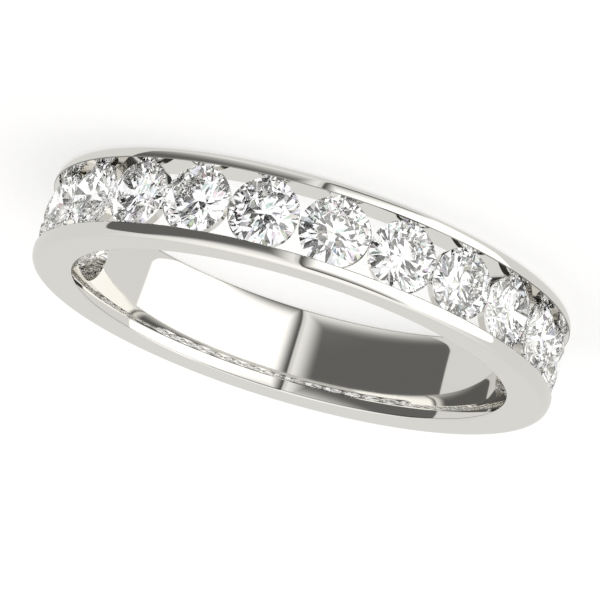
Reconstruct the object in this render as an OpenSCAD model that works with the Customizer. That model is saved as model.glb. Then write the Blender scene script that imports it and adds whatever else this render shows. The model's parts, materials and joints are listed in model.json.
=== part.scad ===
// Channel set half eternity band, modelled lying on its side: the finger hole runs along Z, the band
// rests on z = 0 and the middle of the row of stones faces -Y. The origin is the centre of the band's
// round outside. All lengths are millimetres.

/* [Finger size] */
// Diameter of the finger hole, 17.35 is US size 7
finger_d = 17.35; // [14:0.05:22]

/* [Stones] */
// Number of stones in the row
stone_count = 14; // [8:1:14]
// Girdle diameter of each round stone
stone_d = 2.68; // [2.3:0.02:3.1]
// Space between the girdles of two neighbours
stone_gap = 0.032; // [0.02:0.002:0.2]
// Table width as a share of the stone's diameter
table_share = 0.57; // [0.5:0.01:0.65]
// Crown height as a share of the stone's diameter
crown_share = 0.125; // [0.1:0.005:0.17]
// Girdle thickness as a share of the stone's diameter
girdle_share = 0.025; // [0.025:0.005:0.05]
// Pavilion depth as a share of the stone's diameter
pavilion_share = 0.41; // [0.36:0.005:0.45]
// Turn from each stone to the next about its own axis, as they are set by hand
stone_turn = 17; // [0:1:44]

/* [Channel] */
// How far each girdle reaches into a rail
girdle_tuck = 0.03; // [0.02:0.005:0.15]
// Play around a girdle in its seat
seat_clearance = 0.015; // [0.01:0.005:0.05]
// Thickness of each rail beside the channel
rail_t = 0.52; // [0.48:0.01:1.2]
// Chamfer along the rails' upper inner edges
rail_chamfer = 0.03; // [0.02:0.01:0.15]
// How far the tables lie below the tops of the rails
table_sink = 0.03; // [0.02:0.01:0.2]
// Space between the stones' points and the finger
point_clearance = 0.05; // [0.02:0.01:0.3]

/* [Collars] */
// How far the round collar under each stone reaches below the middle of the girdle
collar_depth = 0.45; // [0.3:0.01:0.6]
// Thickness of the collars
collar_wall = 0.15; // [0.1:0.01:0.3]
// Room between the stones' pavilions and the collars
pavilion_room = 0.05; // [0.04:0.005:0.1]

/* [Shank] */
// Thickness of the band opposite the stones
base_t = 2.15; // [1.8:0.01:3]
// Rounding of the two outer edges
outer_round = 0.26; // [0.1:0.01:0.4]
// Width of the straight land in the finger hole, beside the channel and the domed inside of the shank
land_w = 0.07; // [0.04:0.01:0.3]
// How far the domed inside of the shank stands proud of the lands, for an easy fit
dome_h = 0.02; // [0.01:0.005:0.05]
// Lean of the eased inner edges where they reach the band's sides, in degrees
edge_lean = 30; // [10:1:60]

/* [Quality] */
// Facets around a full circle
$fn = 180; // [60:20:360]

/* [Hidden] */

GOLD = [0.83, 0.82, 0.79];
DIAMOND = [0.93, 0.95, 0.97];
// How far a cutting shape runs past the surface that it cuts
PAST = 0.5;
// Share of the channel's width over which the domed inside is straight
CREST_SHARE = 0.65;
// Steps in which each eased edge is turned
EASE_STEPS = 4;
// How much wider each end pocket is than the channel, so that their walls cross instead of touching
POCKET_ROOM = 0.01;
// Space between a collar and the plane halfway to the next one
COLLAR_ROOM = 0.01;
// How far the collars' rims lie under the floors of the seats
RIM_DROP = 0.015;

stone_r = stone_d / 2;
table_r = stone_r * table_share;
crown_h = stone_d * crown_share;
girdle_h = stone_d * girdle_share;
pavilion_h = stone_d * pavilion_share;

// The row is as deep as its stones, which sets the thickness of the band at its head
head_t = table_sink + crown_h + girdle_h + pavilion_h + point_clearance;
bore_r = finger_d / 2;
land_r = bore_r + dome_h;
outer_r = (finger_d + head_t + base_t) / 2;
// The bore's centre lies this far towards the head
bore_shift = (base_t - head_t) / 2;

channel_half = stone_r - girdle_tuck;
band_w = 2 * (channel_half + rail_t);

girdle_r = outer_r - table_sink - crown_h - girdle_h / 2;
girdle_low_r = girdle_r - girdle_h / 2;
// Half the angle between neighbours, at which their lower girdle edges lie stone_gap apart
half_pitch = atan(stone_r / girdle_low_r)
    + asin(stone_gap / 2 / sqrt(stone_r * stone_r + girdle_low_r * girdle_low_r));
row_half = (stone_count - 1) * half_pitch;

// The dome reaches a little past the channel, then come the lands, and the eased edges take the rest
land_gap = land_w / 4;
ease_start = channel_half + land_gap + land_w;
edge_ease_r = (band_w / 2 - ease_start) / sin(edge_lean);

// The brilliant cut. Eight main facets, with stars and halves between them.
MAINS = 8;
MAIN_STEP = 360 / MAINS;
STEPS_PER_MAIN = 4;
GIRDLE_POINTS = MAINS * STEPS_PER_MAIN;
GIRDLE_STEP = 360 / GIRDLE_POINTS;
// How far the stars reach from the table to the girdle, and the lower halves from the girdle to the point
STAR_SHARE = 0.5;
LOWER_HALF_SHARE = 0.77;

function ring_points(count, r, z, turn) =
    [for (i = [0:count - 1]) [r * cos(360 * i / count + turn), r * sin(360 * i / count + turn), z]];

// Height of one girdle edge, which dips where a half facet runs past its chord
function girdle_edge(z_edge, slope) =
    [for (i = [0:GIRDLE_POINTS - 1])
        [stone_r * cos(GIRDLE_STEP * i), stone_r * sin(GIRDLE_STEP * i),
         z_edge - (i % 2) * slope * stone_r * (1 - cos(GIRDLE_STEP))]];

// A round brilliant with its table upwards and the middle of its girdle on z = 0
module brilliant() {
    z_table = girdle_h / 2 + crown_h;
    z_point = -girdle_h / 2 - pavilion_h;
    chord_share = cos(MAIN_STEP / 2);

    // Stars meet the kites in the kites' own planes
    star_r = table_r * chord_share + STAR_SHARE * (stone_r - table_r * chord_share);
    kite_slope = crown_h / (stone_r - table_r);
    z_star = z_table - (star_r * chord_share - table_r) * kite_slope;
    upper_slope = (z_star - girdle_h / 2) / ((stone_r - star_r) * cos(GIRDLE_STEP));

    lower_r = stone_r * (1 - LOWER_HALF_SHARE);
    main_slope = pavilion_h / stone_r;
    z_lower = -girdle_h / 2 - (stone_r - lower_r * chord_share) * main_slope;
    lower_slope = (z_lower + girdle_h / 2) / ((stone_r - lower_r) * cos(GIRDLE_STEP));

    points = concat(
        ring_points(MAINS, table_r, z_table, 0),
        ring_points(MAINS, star_r, z_star, MAIN_STEP / 2),
        girdle_edge(girdle_h / 2, upper_slope),
        girdle_edge(-girdle_h / 2, lower_slope),
        ring_points(MAINS, lower_r, z_lower, MAIN_STEP / 2),
        [[0, 0, z_point]]
    );

    star = MAINS;
    upper = star + MAINS;
    lower = upper + GIRDLE_POINTS;
    half = lower + GIRDLE_POINTS;
    point = half + MAINS;

    faces = concat(
        [[for (i = [MAINS - 1:-1:0]) i]],
        [for (i = [0:MAINS - 1]) [i, (i + 1) % MAINS, star + i]],
        [for (i = [0:MAINS - 1])
            [i, star + i, upper + STEPS_PER_MAIN * i, star + (i + MAINS - 1) % MAINS]],
        [for (i = [0:MAINS - 1], side = [0, 2]) let (g = STEPS_PER_MAIN * i + side)
            [star + i, upper + (g + 2) % GIRDLE_POINTS, upper + g + 1, upper + g]],
        [for (g = [0:GIRDLE_POINTS - 1]) let (next = (g + 1) % GIRDLE_POINTS)
            [upper + g, upper + next, lower + next, lower + g]],
        [for (i = [0:MAINS - 1], side = [0, 2]) let (g = STEPS_PER_MAIN * i + side)
            [half + i, lower + g, lower + g + 1, lower + (g + 2) % GIRDLE_POINTS]],
        [for (i = [0:MAINS - 1])
            [point, half + (i + MAINS - 1) % MAINS, lower + STEPS_PER_MAIN * i, half + i]]
    );
    polyhedron(points, faces);
}

// Puts a shape in the place of one stone. Stones are counted from the +X end of the row.
module at_stone(number) {
    middle = (stone_count + 1) / 2;
    rotate([0, 0, (middle - number) * 2 * half_pitch])
        translate([0, -girdle_r, 0])
            rotate([90, 0, 0])
                children();
}

module stone(number) {
    color(DIAMOND)
        translate([0, 0, band_w / 2])
            at_stone(number)
                rotate([0, 0, stone_turn * number])
                    brilliant();
}

// Outer radius of a collar at a depth below the middle of the girdle. It narrows with the space between
// the planes halfway to its neighbours.
function collar_r(depth) = min(stone_r, (girdle_r - depth) * tan(half_pitch) - COLLAR_ROOM);

// The collar that carries a stone, with its rim sloped like the stone's pavilion
module collar() {
    rim_depth = girdle_h / 2 + pavilion_room + RIM_DROP;
    rim_r = collar_r(rim_depth);
    low_r = collar_r(collar_depth);
    rotate_extrude()
        polygon([[low_r - collar_wall, -collar_depth],
                 [low_r, -collar_depth],
                 [rim_r, -rim_depth],
                 [rim_r - collar_wall, -rim_depth - collar_wall * pavilion_h / stone_r]]);
}

// Room for a stone's girdle in the rails, which narrows inwards as the collars do
module seat() {
    half_h = girdle_h / 2 + pavilion_room;
    seat_r = stone_r + seat_clearance;
    translate([0, 0, -half_h])
        cylinder(
            h = 2 * half_h,
            r1 = seat_r - (half_h - girdle_h / 2) * tan(half_pitch),
            r2 = seat_r + (half_h + girdle_h / 2) * tan(half_pitch)
        );
}

// One wall of the channel as [distance from the band's axis, distance from the middle of the channel]:
// straight from the bore, then the chamfer
function channel_wall() =
    [[bore_r - bore_shift - PAST, channel_half],
     [outer_r - rail_chamfer, channel_half],
     [outer_r + PAST, channel_half + rail_chamfer + PAST]];

// The channel is open to the bore and ends in a round pocket about each end stone
module channel() {
    wall = channel_wall();
    last = len(wall) - 1;
    rotate([0, 0, -90 - row_half])
        rotate_extrude(angle = 2 * row_half)
            polygon(concat(wall, [for (i = [last:-1:0]) [wall[i][0], -wall[i][1]]]));
    for (end = [-1, 1])
        rotate([0, 0, end * row_half])
            rotate([90, 0, 0])
                rotate_extrude()
                    polygon(concat(
                        [[0, wall[0][0]]],
                        [for (p = wall) [p[1] + POCKET_ROOM, p[0]]],
                        [[0, wall[last][0]]]
                    ));
}

// Half of the finger hole's section as [distance from its axis, distance from the middle of the band]:
// the shank's domed inside, the land beside the channel and the eased edge, run past the band's side
function hole_wall() =
    concat(
        [[bore_r, channel_half * CREST_SHARE],
         [land_r, channel_half + land_gap],
         [land_r, ease_start]],
        [for (i = [1:EASE_STEPS]) let (lean = edge_lean * i / EASE_STEPS)
            [land_r + edge_ease_r * (1 - cos(lean)), ease_start + edge_ease_r * sin(lean)]],
        [[land_r + edge_ease_r * (1 - cos(edge_lean)) + PAST * tan(edge_lean), band_w / 2 + PAST]]
    );

module finger_hole() {
    wall = hole_wall();
    last = len(wall) - 1;
    rotate_extrude()
        polygon(concat(
            [[0, wall[last][1]], [0, -wall[last][1]]],
            [for (i = [last:-1:0]) [wall[i][0], -wall[i][1]]],
            wall
        ));
}

// Half of the blank's section, with its two outer corners rounded
module blank_section() {
    difference() {
        translate([0, -band_w / 2])
            square([outer_r, band_w]);
        for (side = [0, 1])
            mirror([0, side])
                translate([outer_r - outer_round, band_w / 2 - outer_round])
                    difference() {
                        square(outer_round + PAST);
                        circle(outer_round);
                    }
    }
}

module band() {
    color(GOLD)
        translate([0, 0, band_w / 2])
            union() {
                difference() {
                    rotate_extrude()
                        blank_section();
                    translate([0, -bore_shift, 0])
                        finger_hole();
                    channel();
                    for (number = [1:stone_count])
                        at_stone(number)
                            seat();
                }
                for (number = [1:stone_count])
                    at_stone(number)
                        collar();
            }
}

band();
stone(1);  // stone_01
stone(2);  // stone_02
stone(3);  // stone_03
stone(4);  // stone_04
stone(5);  // stone_05
stone(6);  // stone_06
stone(7);  // stone_07
stone(8);  // stone_08
stone(9);  // stone_09
stone(10);  // stone_10
stone(11);  // stone_11
stone(12);  // stone_12
stone(13);  // stone_13
stone(14);  // stone_14
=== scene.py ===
"""Channel set half eternity band in white gold, lying on its side on a pale table."""
import json

import bpy
import numpy as np
from mathutils import Matrix, Vector


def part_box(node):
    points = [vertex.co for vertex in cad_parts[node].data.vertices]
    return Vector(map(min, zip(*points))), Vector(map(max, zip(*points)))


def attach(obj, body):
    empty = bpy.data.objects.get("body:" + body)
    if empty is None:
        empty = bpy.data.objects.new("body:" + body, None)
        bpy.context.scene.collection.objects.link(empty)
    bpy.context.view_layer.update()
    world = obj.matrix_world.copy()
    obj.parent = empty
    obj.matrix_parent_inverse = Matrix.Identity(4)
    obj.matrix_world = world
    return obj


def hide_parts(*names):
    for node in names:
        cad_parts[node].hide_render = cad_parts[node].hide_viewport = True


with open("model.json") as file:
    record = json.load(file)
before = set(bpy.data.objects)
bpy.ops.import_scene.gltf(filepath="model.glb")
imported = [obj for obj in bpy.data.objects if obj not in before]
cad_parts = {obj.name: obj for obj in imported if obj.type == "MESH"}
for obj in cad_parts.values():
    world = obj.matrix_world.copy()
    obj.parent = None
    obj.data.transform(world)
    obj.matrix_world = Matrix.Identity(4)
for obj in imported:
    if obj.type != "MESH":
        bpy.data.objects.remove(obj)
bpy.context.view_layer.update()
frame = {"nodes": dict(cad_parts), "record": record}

MM = 0.001

# Sizes, in millimetres
bore_mount = next(m for m in frame["record"]["mounts"] if m["name"] == "finger_bore")
band_low, band_high = (np.array(corner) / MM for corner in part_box("band"))
OUTER_R = float(band_high[0])
HALF_W = float(band_high[2] - band_low[2]) / 2
MID_Z = float(band_high[2] + band_low[2]) / 2
BORE_R = bore_mount["dims"]["r_mm"]
BORE_Y = bore_mount["pos_m"][1] / MM

STONES = sorted(name for name in frame["nodes"] if name.startswith("stone_"))


def stone_direction(name):
    """Angle of a stone's middle about the band's axis, from the head (-Y) towards +X."""
    low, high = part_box(name)
    return float(np.arctan2(low[0] + high[0], -low[1] - high[1]))


# Half the angle from the first stone's middle to the last one's
ROW_HALF = (stone_direction(STONES[0]) - stone_direction(STONES[-1])) / 2
# Tangent of half the angle between neighbours
HALFWAY = float(np.tan(ROW_HALF / (len(STONES) - 1)))
# The channel's straight walls and the chamfer along the rails
CHANNEL_HALF = 1.31
RAIL_CHAMFER = 0.03
# The collars under the stones, in distances below the middle of the girdle and from a stone's axis.
# They taper from rim to foot and stay a little short of the plane halfway to their neighbours.
GIRDLE_DEPTH = 0.3985
GIRDLE_R = OUTER_R - GIRDLE_DEPTH
COLLAR_TOP = 0.0985
COLLAR_DEPTH = 0.45
COLLAR_WALL = 0.15
COLLAR_ROOM = 0.01
PAVILION_SLOPE = 0.82
# Lean to which the rails' tops fall away from the channel, the rounding of the outer edges after it, and
# the tight corner between the eased hole and the flat sides
CROWN = np.radians(14)
OUTER_ROUND = 0.26
INNER_CORNER = 0.10
# Lean of the finger hole's wall at distances from the middle of its width: a faint dome, then the easing.
# The inner corner starts at HALF_W - INNER_CORNER (1 - sin of the last lean) = 1.7675, so ending the leans
# at 1.755 leaves a slit 0.0125 wide round each inner edge of the finger hole
LEAN_AT = (0.0, 1.16, 1.40, 1.755)
LEAN = np.radians((0.0, 2.5, 8.5, 22.0))
# Where the sides' full-circle grids end on the hole and where the pockets' grids end along the band
HOLE_GRID_Z = CHANNEL_HALF + 0.04
POCKET_REACH = 1.88
# Steps across a rail's top and from a pocket's rim to its surroundings
RIM_STEPS = 5
# Steps along a quarter of the band: beside the row, past a pocket and round the shank
ROW_STEPS, POCKET_STEPS, SHANK_STEPS = 149, 16, 111
# Steps across half the band, across its eased hole, and round its inner and outer corners
WIDTH_STEPS, EASE_STEPS, INNER_STEPS, OUTER_STEPS = 12, 11, 8, 12
# Steps round a collar, and points of the fine tables that the leans are summed in
COLLAR_STEPS = 96
TABLE_POINTS = 400
# Corners in the same cell of this size are one; the shift keeps round sizes off the cells' borders
JOIN_CELL = 1e-4
JOIN_SHIFT = 0.123


# The band as surfaces worked out with numpy.
# Everything is worked out for one quarter, x >= 0 above the middle of the width, and mirrored.
# A direction is psi, the angle about the outer circle's axis, from the head towards +X.

def ray(psi):
    """(sin psi, -cos psi, 0): from the axis towards psi."""
    psi = np.asarray(psi, float)
    return np.stack([np.sin(psi), -np.cos(psi), np.zeros_like(psi)], -1)


def upright(z):
    """(0, 0, z) for each z."""
    z = np.asarray(z, float)
    return np.stack([np.zeros_like(z), np.zeros_like(z), z], -1)


def lean_at(z):
    """Lean of the hole's wall: straight lines between the named leans."""
    return np.interp(z, LEAN_AT, LEAN)


def crown_at(z):
    """Lean of the outside: none over the channel's width, then straight up to CROWN."""
    return np.interp(z, (RAIL_START, CORNER_Z), (0, CROWN))


def summed(lean, z):
    """Height gained along z on a wall of this lean: the sum of tan(lean) dz."""
    return np.concatenate([[0], np.cumsum(np.tan(lean((z[1:] + z[:-1]) / 2)) * np.diff(z))])


RAIL_START = CHANNEL_HALF + RAIL_CHAMFER
CORNER_Z = HALF_W - OUTER_ROUND
CORNER_R = OUTER_ROUND / (1 - np.sin(CROWN))
FINE_Z = np.linspace(0, LEAN_AT[-1], TABLE_POINTS)
FINE_R = BORE_R + summed(lean_at, FINE_Z)
CROWN_Z = np.linspace(0, CORNER_Z, TABLE_POINTS)
CROWN_R = OUTER_R - summed(crown_at, CROWN_Z)


def hole_point(psi, r):
    """The point t u, with u = ray(psi), at the distance r from the hole's axis C:
    t = u.C + sqrt(r^2 - C^2 + (u.C)^2)."""
    along = -np.cos(psi) * BORE_Y
    t = along + np.sqrt(r * r - BORE_Y ** 2 + along ** 2)
    return t[..., None] * ray(psi)


def from_hole_axis(points):
    """Unit vectors in the plane of the ring from the hole's axis to the points."""
    v = points - np.array([0, BORE_Y, 0])
    v[..., 2] = 0
    return v / np.linalg.norm(v, axis=-1, keepdims=True)


def hole_wall(psi, z):
    """The hole's wall at direction psi and height z above the middle, with its normals."""
    psi, z = np.broadcast_arrays(psi, z)
    points = hole_point(psi, np.interp(z, FINE_Z, FINE_R))
    lean = lean_at(z)[..., None]
    normals = -from_hole_axis(points) * np.cos(lean) + upright(np.ones_like(z)) * np.sin(lean)
    return points + upright(z), normals


def outside(psi, z):
    """The outside with its crowned rails: R(z) ray(psi) + z."""
    psi, z = np.broadcast_arrays(psi, z)
    lean = crown_at(z)
    normals = ray(psi) * np.cos(lean)[..., None] + upright(np.sin(lean))
    return np.interp(z, CROWN_Z, CROWN_R)[..., None] * ray(psi) + upright(z), normals


def inner_corner(psi, lean):
    """Arc of radius INNER_CORNER from the easing's last lean to the flat side, about the hole's axis."""
    psi, lean = np.broadcast_arrays(psi, lean)
    r = FINE_R[-1] + INNER_CORNER * (np.cos(LEAN[-1]) - np.cos(lean))
    z = HALF_W - INNER_CORNER * (1 - np.sin(lean))
    points = hole_point(psi, r)
    normals = -from_hole_axis(points) * np.cos(lean)[..., None] + upright(np.sin(lean))
    return points + upright(z), normals


def outer_corner(psi, turn):
    """Arc of radius CORNER_R from the crown (turn CROWN) to the flat side (turn 90 degrees)."""
    psi, turn = np.broadcast_arrays(psi, turn)
    r = CROWN_R[-1] + CORNER_R * (np.cos(turn) - np.cos(CROWN))
    z = HALF_W - CORNER_R * (1 - np.sin(turn))
    normals = ray(psi) * np.cos(turn)[..., None] + upright(np.sin(turn))
    return r[..., None] * ray(psi) + upright(z), normals


def between(first, last, steps):
    """Straight lines from each point of one row to the same point of another."""
    share = np.linspace(0, 1, steps + 1)[None, :, None]
    return first[:, None] * (1 - share) + last[:, None] * share


def quarter_grids():
    """All surfaces of the quarter as (points, normals) grids, rows along psi or round a pocket."""
    corner_z = LEAN_AT[-1]
    psi_pocket = ROW_HALF + np.arcsin(POCKET_REACH / OUTER_R)
    rail = np.linspace(0, ROW_HALF, ROW_STEPS + 1)
    pocket = np.linspace(ROW_HALF, psi_pocket, POCKET_STEPS + 1)
    shank = np.linspace(psi_pocket, np.pi, SHANK_STEPS + 1)
    whole = np.concatenate([rail, pocket[1:], shank[1:]])[:, None]
    side_z = np.linspace(1, 0, WIDTH_STEPS + 1)

    grids = [
        hole_wall(whole, np.linspace(HOLE_GRID_Z, corner_z, EASE_STEPS + 1)[None]),
        inner_corner(whole, np.linspace(LEAN[-1], np.pi / 2, INNER_STEPS + 1)[None]),
        outer_corner(whole, np.linspace(CROWN, np.pi / 2, OUTER_STEPS + 1)[None]),
        outside(rail[:, None], np.linspace(CORNER_Z, RAIL_START, RIM_STEPS + 1)[None]),
        outside(shank[:, None], CORNER_Z * side_z[None]),
        hole_wall(rail[:, None], np.array([[HOLE_GRID_Z, CHANNEL_HALF]])),
        hole_wall(shank[:, None], HOLE_GRID_Z * side_z[None]),
    ]
    flat = between(grids[1][0][:, -1], grids[2][0][:, -1], 2)
    grids.append((flat, upright(np.ones(flat.shape[:2]))))

    def wall(outer_edge, chamfer_top, hole_edge):
        """The channel's wall as corners (distance outwards, half width). The first lies on the outside
        and the last in the hole, at distances that change round the pocket."""
        return [(outer_edge, RAIL_START),
                (chamfer_top - RAIL_CHAMFER, CHANNEL_HALF), (hole_edge, CHANNEL_HALF)]

    def sweep(corners, out, sides):
        """Strips between neighbouring corners (y, w), each at y out + w side, with flat normals."""
        for (y0, w0), (y1, w1) in zip(corners, corners[1:]):
            ends = [np.broadcast_to(v, sides.shape[:1])[:, None] for v in (y0, w0, y1, w1)]
            line = np.concatenate([ends[2] - ends[0], ends[3] - ends[1]], -1)
            line = line / np.linalg.norm(line, axis=-1, keepdims=True)
            normals = -line[:, 1:] * out + line[:, :1] * sides
            points = between(ends[0] * out + ends[1] * sides, ends[2] * out + ends[3] * sides, 1)
            grids.append((points, np.repeat(normals[:, None], 2, 1)))

    up = upright(np.ones_like(rail))
    hole_edge = np.linalg.norm(hole_wall(rail, np.full_like(rail, CHANNEL_HALF))[0][:, :2], axis=-1)
    sweep(wall(OUTER_R, OUTER_R, hole_edge), ray(rail), up)

    # Round the pocket: phi from the rail's wall (0) to the middle of the width (90 degrees)
    phi = np.linspace(0, np.pi / 2, len(pocket) + len(side_z) - 1)
    out = np.repeat(ray(ROW_HALF)[None], len(phi), 0)
    along = np.array([np.cos(ROW_HALF), np.sin(ROW_HALF), 0])
    sides = np.sin(phi)[:, None] * along + upright(np.cos(phi))

    def outer_reach(w):
        """Distance outwards of the outer circle beside the pocket's axis: sqrt(R^2 - (w sin phi)^2)."""
        return np.sqrt(OUTER_R ** 2 - (w * np.sin(phi)) ** 2)

    hole_r = np.interp(CHANNEL_HALF * np.cos(phi), FINE_Z, FINE_R)
    centre_out, centre_along = -np.cos(ROW_HALF) * BORE_Y, np.sin(ROW_HALF) * BORE_Y
    hole_y = centre_out + np.sqrt(hole_r ** 2 - (CHANNEL_HALF * np.sin(phi) - centre_along) ** 2)
    sweep(wall(outer_reach(RAIL_START), outer_reach(CHANNEL_HALF), hole_y), out, sides)

    def around(surface, w, y, top):
        """Grid from the pocket's rim to the rectangle that the neighbours leave for it."""
        rim_psi, rim_z = ROW_HALF + np.arctan2(w * np.sin(phi), y), w * np.cos(phi)
        frame_psi = np.concatenate([pocket, np.full(len(side_z) - 1, psi_pocket)])
        frame_z = np.concatenate([np.full(len(pocket), top), top * side_z[1:]])
        share = np.linspace(0, 1, RIM_STEPS + 1)[None]
        return surface(rim_psi[:, None] * (1 - share) + frame_psi[:, None] * share,
                       rim_z[:, None] * (1 - share) + frame_z[:, None] * share)

    grids.append(around(outside, RAIL_START, outer_reach(RAIL_START), CORNER_Z))
    grids.append(around(hole_wall, CHANNEL_HALF, hole_y, HOLE_GRID_Z))
    return grids


def collar_grids(psi):
    """Tube under the stone at psi: a closed outline (r, depth) turned about the stone's axis ray(psi),
    P = (G - depth) ray + r (cos a T + sin a Z), with the rim bevelled to the stone's slope."""
    rim_r, foot_r = ((GIRDLE_R - depth) * HALFWAY - COLLAR_ROOM for depth in (COLLAR_TOP, COLLAR_DEPTH))
    inner_rim = (rim_r - COLLAR_WALL, COLLAR_TOP + COLLAR_WALL * PAVILION_SLOPE)
    outline = [inner_rim, (rim_r, COLLAR_TOP), (foot_r, COLLAR_DEPTH), (foot_r - COLLAR_WALL, COLLAR_DEPTH),
               inner_rim]
    turn = np.linspace(0, 2 * np.pi, COLLAR_STEPS + 1)
    out, along = ray(psi), np.array([np.cos(psi), np.sin(psi), 0])
    spoke = np.cos(turn)[:, None] * along + upright(np.sin(turn))
    for (r0, d0), (r1, d1) in zip(outline, outline[1:]):
        first, last = (r * spoke + (GIRDLE_R - d) * out for r, d in ((r0, d0), (r1, d1)))
        length = np.hypot(r1 - r0, d1 - d0)
        normal = ((d1 - d0) * spoke + (r1 - r0) * out) / length
        yield between(first, last, 1), np.repeat(normal[:, None], 2, 1)


def weld(name, grids):
    """One mesh from grids: corners in the same cell of JOIN_CELL are joined, triangles without area go,
    and each triangle faces along its corners' normals, which are kept for the shading."""
    points, normals, triangles, start = [], [], [], 0
    for P, N in grids:
        index = np.arange(P.shape[0] * P.shape[1]).reshape(P.shape[:2]) + start
        a, b, c, d = index[:-1, :-1], index[1:, :-1], index[1:, 1:], index[:-1, 1:]
        triangles += [np.stack([a, b, c], -1).reshape(-1, 3), np.stack([a, c, d], -1).reshape(-1, 3)]
        points.append(P.reshape(-1, 3))
        normals.append(np.broadcast_to(N, P.shape).reshape(-1, 3))
        start += index.size
    points, normals, triangles = map(np.concatenate, (points, normals, triangles))
    keys = np.floor(points / JOIN_CELL + JOIN_SHIFT).astype(np.int64)
    _, first, joined = np.unique(keys, axis=0, return_index=True, return_inverse=True)
    corners = joined.reshape(-1)[triangles]
    a, b, c = corners.T
    whole = (a != b) & (b != c) & (c != a)
    corners, triangles = corners[whole], triangles[whole]
    spots = points[first]
    p = spots[corners]
    facing = np.cross(p[:, 1] - p[:, 0], p[:, 2] - p[:, 0])
    away = (facing * normals[triangles].sum(1)).sum(-1) < 0
    corners[away], triangles[away] = corners[away][:, ::-1], triangles[away][:, ::-1]
    mesh = bpy.data.meshes.new(name)
    mesh.from_pydata((spots + np.array([0, 0, MID_Z])) * MM, [], corners)
    mesh.shade_smooth()
    mesh.normals_split_custom_set(normals[triangles].reshape(-1, 3))
    piece = bpy.data.objects.new(name, mesh)
    bpy.context.scene.collection.objects.link(piece)
    return piece


def make_band():
    """The quarter and its mirrored copies in x and z, welded, with the collars as closed tubes that
    pass into its walls. The rails have no seats, so the girdles reach into them."""
    grids = []
    for P, N in quarter_grids():
        N = np.broadcast_to(N, P.shape)
        for flip in ((1, 1, 1), (-1, 1, 1), (1, 1, -1), (-1, 1, -1)):
            grids.append((P * np.array(flip), N * np.array(flip)))
    for name in STONES:
        grids.extend(collar_grids(stone_direction(name)))
    return weld("polished_band", grids)


# Shader maths as expressions

class Value:
    """A socket that takes part in Python expressions by adding Math nodes."""

    def __init__(self, shade, socket):
        self.shade, self.socket = shade, socket

    def math(self, operation, *others):
        """A Math node on this value and the others."""
        inputs = dict(enumerate((self,) + others))
        return self.shade.node("ShaderNodeMath", {"operation": operation}, inputs)

    def __add__(self, other):
        return self.math("ADD", other)

    def __sub__(self, other):
        return self.math("SUBTRACT", other)

    def __mul__(self, other):
        return self.math("MULTIPLY", other)

    def __truediv__(self, other):
        return self.math("DIVIDE", other)

    def __radd__(self, other):
        return self + other

    def __rmul__(self, other):
        return self * other

    def __rsub__(self, other):
        return self * -1.0 + other

    def __abs__(self):
        return self.math("ABSOLUTE")

    def lowest(self, other):
        return self.math("MINIMUM", other)

    def highest(self, other):
        return self.math("MAXIMUM", other)

    def rise(self, start, end):
        """0 before start, 1 after end, smooth between them."""
        return self.shade.node(
            "ShaderNodeMapRange", {"interpolation_type": "SMOOTHSTEP", "clamp": True},
            {"Value": self, "From Min": start, "From Max": end}, "Result")


class Shade:
    """A node tree that is filled by one method."""

    def __init__(self, tree):
        self.tree = tree
        tree.nodes.clear()

    def node(self, kind, settings=None, inputs=None, out=0):
        """A node with its settings, then its sockets' values or links. Gives one of its outputs."""
        node = self.tree.nodes.new(kind)
        for name, value in (settings or {}).items():
            setattr(node, name, value)
        for key, value in (inputs or {}).items():
            if isinstance(value, Value):
                self.tree.links.new(value.socket, node.inputs[key])
            else:
                node.inputs[key].default_value = value
        return Value(self, node.outputs[out]) if len(node.outputs) else None

    def split(self, vector):
        """The three parts of a vector."""
        return [self.node("ShaderNodeSeparateXYZ", inputs={0: vector}, out=part) for part in range(3)]

    def mix_colour(self, share, first, second):
        """Colour between two colours. Sockets 6, 7 and 2 are the colour ones of a Mix node."""
        return self.node("ShaderNodeMix", {"data_type": "RGBA"}, {0: share, 6: first, 7: second}, 2)


def mix(share, first, second):
    """Number between two numbers, of which any may be a Value."""
    return first + share * (second - first)


def new_material(name):
    """An empty material and its node tree."""
    material = bpy.data.materials.new(name)
    material.use_nodes = True
    return material, Shade(material.node_tree)


def white_gold():
    """Rhodium plated white gold: mirror polish, faint polishing haze and painted shade along the chamfers.
    """
    material, shade = new_material("white_gold")
    place = shade.node("ShaderNodeTexCoord", out="Object")
    haze = shade.node("ShaderNodeTexNoise", inputs={"Vector": place, "Scale": 2400.0, "Detail": 3.0})
    cloud = shade.node("ShaderNodeTexNoise", inputs={"Vector": place, "Scale": 260.0, "Detail": 2.0})
    tone = shade.mix_colour(cloud, (0.83, 0.82, 0.795, 1), (0.85, 0.842, 0.82, 1))
    # Painted shade: fine dark lines are painted into the colour along the chamfers by the channel, in place
    # of the shadow in those creases.
    # They also run on round the shank, which has no chamfer
    x, y, z = shade.split(place)
    from_axis = (x * x + y * y).math("SQRT") / MM
    across = abs(z / MM - MID_Z)
    soft = 0.004
    line = (from_axis.rise(OUTER_R - RAIL_CHAMFER - soft, OUTER_R - RAIL_CHAMFER)
            * across.rise(CHANNEL_HALF - soft, CHANNEL_HALF)
            * (1 - across.rise(RAIL_START, RAIL_START + soft)))
    tone = shade.mix_colour(line * 0.75, tone, (0.12, 0.115, 0.11, 1))
    bump = shade.node("ShaderNodeBump", inputs={"Strength": 0.01, "Distance": 0.00001, "Height": haze})
    surface = shade.node("ShaderNodeBsdfPrincipled", inputs={
        "Base Color": tone, "Metallic": 1.0, "Roughness": mix(haze, 0.02, 0.06), "Normal": bump})
    shade.node("ShaderNodeOutputMaterial", inputs={"Surface": surface})
    return material


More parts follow.
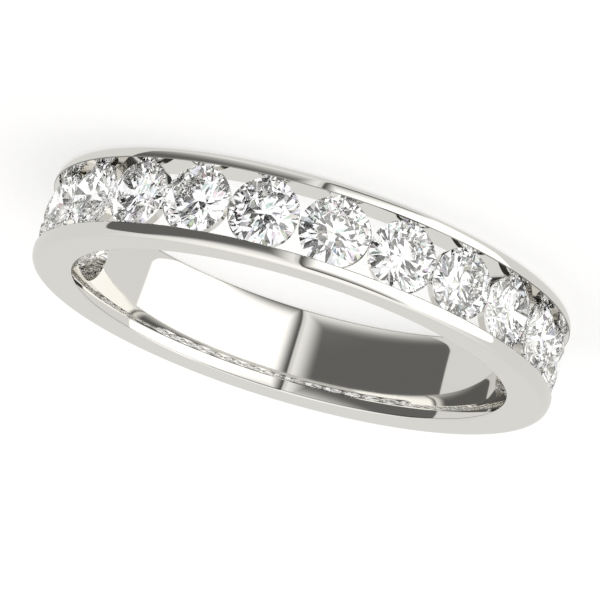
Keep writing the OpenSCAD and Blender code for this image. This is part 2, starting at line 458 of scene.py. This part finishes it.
def diamond():
    """Clear diamond: refraction 2.42 with hardly any tint."""
    material, shade = new_material("diamond")
    place = shade.node("ShaderNodeTexCoord", out="Object")
    cloud = shade.node("ShaderNodeTexNoise", inputs={"Vector": place, "Scale": 900.0, "Detail": 2.0})
    tint = shade.mix_colour(cloud, (0.97, 0.98, 1.0, 1), (1.0, 1.0, 0.99, 1))
    surface = shade.node("ShaderNodeBsdfPrincipled", inputs={
        "Base Color": tint, "Roughness": 0.0, "IOR": 2.42, "Transmission Weight": 1.0})
    shade.node("ShaderNodeOutputMaterial", inputs={"Surface": surface})
    return material


def table():
    """Pale matt table that glows a little, so that shadows on it stay soft and light."""
    material, shade = new_material("pale_table")
    place = shade.node("ShaderNodeTexCoord", out="Object")
    grain = shade.node("ShaderNodeTexNoise", inputs={"Vector": place, "Scale": 40.0})
    tone = shade.mix_colour(grain, (0.50, 0.50, 0.50, 1), (0.52, 0.52, 0.52, 1))
    surface = shade.node("ShaderNodeBsdfPrincipled", inputs={
        "Base Color": tone, "Roughness": 1.0, "Specular IOR Level": 0.0,
        "Emission Color": (1, 1, 1, 1), "Emission Strength": 0.6})
    shade.node("ShaderNodeOutputMaterial", inputs={"Surface": surface})
    return material


# Studio light

def studio():
    """Soft studio round the ring by direction: pale walls, a white panel to one side of the head and
    a dark card to the other, each a rounded rectangle of azimuth and elevation whose tone fades in
    from its inner upright edge and from its upper and lower edges. Angles are degrees."""
    # Width of the panel and of the card, and the azimuth near which they meet
    panel_w = 88.0
    split = -1.6
    world = bpy.data.worlds.new("studio")
    bpy.context.scene.world = world
    world.use_nodes = True
    shade = Shade(world.node_tree)
    direction = shade.node("ShaderNodeTexCoord", out="Generated")
    x, y, z = shade.split(direction)
    degrees = 180 / np.pi
    azimuth = (x * -1.0).math("ARCTAN2", y * -1.0) * degrees
    elevation = z.math("ARCSINE") * degrees

    def rounded(across, half_across, half_up, middle_up, corner, soft):
        """1 inside a rounded rectangle: d = |max(q, 0)| + min(max(qx, qy), 0) - corner."""
        qx = abs(across) - (half_across - corner)
        qy = abs(elevation - middle_up) - (half_up - corner)
        px, py = qx.highest(0.0), qy.highest(0.0)
        d = (px * px + py * py).math("SQRT") + qx.highest(qy).lowest(0.0) - corner
        return 1 - d.rise(-soft, soft)

    def faded(across, fade, low, high):
        """0 at the inner edge, rising to 1, and the same from the lower and upper edges. low and high
        are (elevation of the edge, width of its fade near the inner edge, width at the far one)."""
        share = across.rise(0.0, panel_w)
        rising = (elevation - low[0]) / mix(share, low[1], low[2])
        falling = (high[0] - elevation) / mix(share, high[1], high[2])
        return (across / fade).lowest(rising).lowest(falling).rise(0.0, 1.0)

    pale = mix(elevation.rise(35.0, 80.0), 0.77, 1.15)
    white_across = (azimuth - (split + 1.5)) * 0.935
    dark_across = (split - 0.5) - azimuth
    white = rounded(white_across - panel_w / 2, panel_w / 2, 70.0, 0.0, 6.0, 0.6)
    dark = rounded(dark_across - panel_w / 2, panel_w / 2, 58.0, -5.0, 6.0, 0.6)
    panel_tone = mix(faded(white_across, 8.0, (-70.0, 55.0, 8.0), (70.0, 66.0, 8.0)), 0.06, 1.35)
    card_tone = mix(faded(dark_across, 12.0, (-63.0, 50.0, 40.0), (53.0, 60.0, 14.0)), 0.95, 0.135)
    room = mix(dark, mix(white, pale, panel_tone), card_tone)

    # Two dim places behind the ring, which only light that has turned three times or more meets
    often = shade.node("ShaderNodeLightPath", out="Ray Depth").rise(2.4, 2.6)
    behind = rounded(abs(azimuth) - 132.0, 36.0, 24.0, 22.0, 8.0, 3.0)
    room = mix(behind * often, room, 0.05)
    warmth = (1.0, 0.988, 0.955)
    room = shade.node("ShaderNodeVectorMath", {"operation": "MULTIPLY"}, {0: room, 1: warmth})

    # What the stones gather through their facets: bright all round with small dark and tinted places
    specks = shade.node("ShaderNodeTexNoise", inputs={
        "Vector": direction, "Scale": 1.5, "Detail": 0.0})
    gathered = mix(specks.rise(0.37, 0.42), 0.02, 1.4)
    hue = shade.node("ShaderNodeTexNoise", inputs={
        "Vector": direction, "Scale": 5.0, "Detail": 1.0}, out="Color")
    fire = shade.node("ShaderNodeTexNoise", inputs={
        "Vector": direction, "Scale": 6.0, "Detail": 0.0}).rise(0.60, 0.66)

    through = shade.node("ShaderNodeLightPath", out="Is Transmission Ray")
    seen = shade.node("ShaderNodeLightPath", out="Is Camera Ray")
    stone_light = shade.mix_colour(fire * 0.7, shade.mix_colour(1.0, (0, 0, 0, 1), gathered), hue)
    light = shade.mix_colour(through, room, stone_light)
    light = shade.mix_colour(seen, light, (1, 1, 1, 1))
    background = shade.node("ShaderNodeBackground", inputs={"Color": light, "Strength": 1.0})
    shade.node("ShaderNodeOutputWorld", inputs={"Surface": background})


def make_floor():
    """Flat square sheet just under the ring: (reach u, reach v, -gap), in metres."""
    reach, gap = 1.5, 0.02 * MM
    steps = np.linspace(-1, 1, 41)
    u, v = np.meshgrid(steps, steps, indexing="ij")
    points = np.stack([u * reach, v * reach, np.full_like(u, -gap)], -1).reshape(-1, 3)
    index = np.arange(steps.size ** 2).reshape(steps.size, -1)
    faces = np.stack([index[:-1, :-1], index[1:, :-1], index[1:, 1:], index[:-1, 1:]], -1).reshape(-1, 4)
    mesh = bpy.data.meshes.new("table_top")
    mesh.from_pydata(points, [], faces)
    floor = bpy.data.objects.new("table_top", mesh)
    bpy.context.scene.collection.objects.link(floor)
    mesh.materials.append(table())
    floor.visible_glossy = False
    floor.visible_transmission = False


def place_camera():
    """Camera on the photograph's line of sight, at a distance from an aim point near the middle of the
    finger hole. Its focal length is in pixels of the 600 pixel wide photograph."""
    azimuth, elevation, roll = np.radians((-4.87, 14.96, 196.99))
    aim = np.array([-0.0326, BORE_Y + 0.0025, MID_Z + 0.2174])
    distance, focal_px, photo_px = 148.25, 3790.0, 600
    back = np.array([np.sin(azimuth) * np.cos(elevation), -np.cos(azimuth) * np.cos(elevation),
                     np.sin(elevation)])
    side = np.cross(-back, (0, 0, 1.0))
    side /= np.linalg.norm(side)
    top = np.cross(side, -back)
    across = np.cos(roll) * side + np.sin(roll) * top
    up = np.cos(roll) * top - np.sin(roll) * side
    data = bpy.data.cameras.new("camera")
    data.sensor_width = 36.0
    data.lens = focal_px / photo_px * data.sensor_width
    data.clip_start, data.clip_end = 0.005, 20.0
    camera = bpy.data.objects.new("camera", data)
    bpy.context.scene.collection.objects.link(camera)
    matrix = Matrix.Identity(4)
    for column, axis in enumerate((across, up, back)):
        for row in range(3):
            matrix[row][column] = axis[row]
    matrix.translation = Vector((aim + back * distance) * MM)
    camera.matrix_world = matrix
    bpy.context.scene.camera = camera


# The scene
place_camera()
studio()
make_floor()

band = make_band()
band.data.materials.append(white_gold())
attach(band, "root")
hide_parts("band")

clear = diamond()
for name in STONES:
    stone = frame["nodes"][name]
    stone.data.materials.clear()
    stone.data.materials.append(clear)

scene = bpy.context.scene
scene.view_settings.view_transform = "Standard"
scene.cycles.max_bounces = 24
scene.cycles.transmission_bounces = 20
scene.cycles.glossy_bounces = 12
scene.cycles.use_denoising = True
